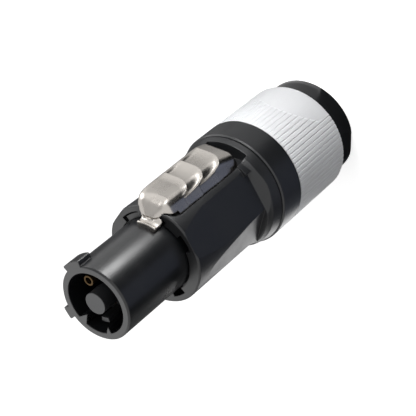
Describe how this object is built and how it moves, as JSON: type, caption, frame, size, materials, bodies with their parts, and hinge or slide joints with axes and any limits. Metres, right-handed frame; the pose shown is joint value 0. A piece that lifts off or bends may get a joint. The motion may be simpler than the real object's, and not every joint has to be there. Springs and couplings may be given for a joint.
{
  "type": "cable power connector",
  "caption": "Locking mains connector for a cable end, with a keyed barrel, a sliding thumb latch and a ribbed screw bushing that clamps the cable.",
  "frame": {"origin": "on the barrel's axis, at the flat rear face of the bushing that it stands on", "axes": "+Z along the axis towards the mouth, -Y towards the thumb latch"},
  "size_m": [0.0316, 0.0316, 0.0934],
  "materials": {
    "black_nylon": "fine moulded texture",
    "insert_nylon": "satin",
    "carrier_nylon": "satin",
    "chuck_nylon": "satin",
    "grip_grey": "soft matt",
    "latch_nickel": "satin nickel on cast zinc",
    "spring_steel": "bright drawn wire",
    "contact_brass": "silver plated on the contact side",
    "screw_steel": "zinc plated",
    "seal_rubber": "matt"
  },
  "bodies": {
    "connector": {"housing": "black_nylon", "insert": "insert_nylon", "contact_core": "insert_nylon", "contact_carrier": "carrier_nylon", "contact_live": "contact_brass", "contact_neutral": "contact_brass", "contact_earth": "contact_brass", "clamp_plate_live": "screw_steel", "clamp_plate_neutral": "screw_steel", "clamp_plate_earth": "screw_steel", "terminal_screw_live": "screw_steel", "terminal_screw_neutral": "screw_steel", "terminal_screw_earth": "screw_steel", "gasket": "seal_rubber", "latch_spring": "spring_steel"},
    "thumb_latch": {"latch": "latch_nickel"},
    "cable_chuck": {"chuck": "chuck_nylon", "cable_seal": "seal_rubber"},
    "screw_bushing": {"bushing": "black_nylon", "bushing_grip": "grip_grey"}
  },
  "joints": [
    {"name": "latch_slide", "type": "slide", "parent": "connector", "child": "thumb_latch", "axis": [0, 0, -1], "range_m": [0, 0.0022], "stiffness_N_per_m": 600, "springref_m": -0.002, "deforming": ["latch_spring"]},
    {"name": "chuck_slide", "type": "slide", "parent": "connector", "child": "cable_chuck", "axis": [0, 0, -1], "range_m": [0, 0.0125]},
    {"name": "bushing_turn", "type": "hinge", "parent": "cable_chuck", "child": "screw_bushing", "pos_m": [0, 0, 0.02], "axis": [0, 0, -1], "range_deg": [0, 1800]}
  ],
  "couplings": [
    {"joint": "bushing_turn", "follows": "chuck_slide", "rad_per_m": 2513.3}
  ]
}
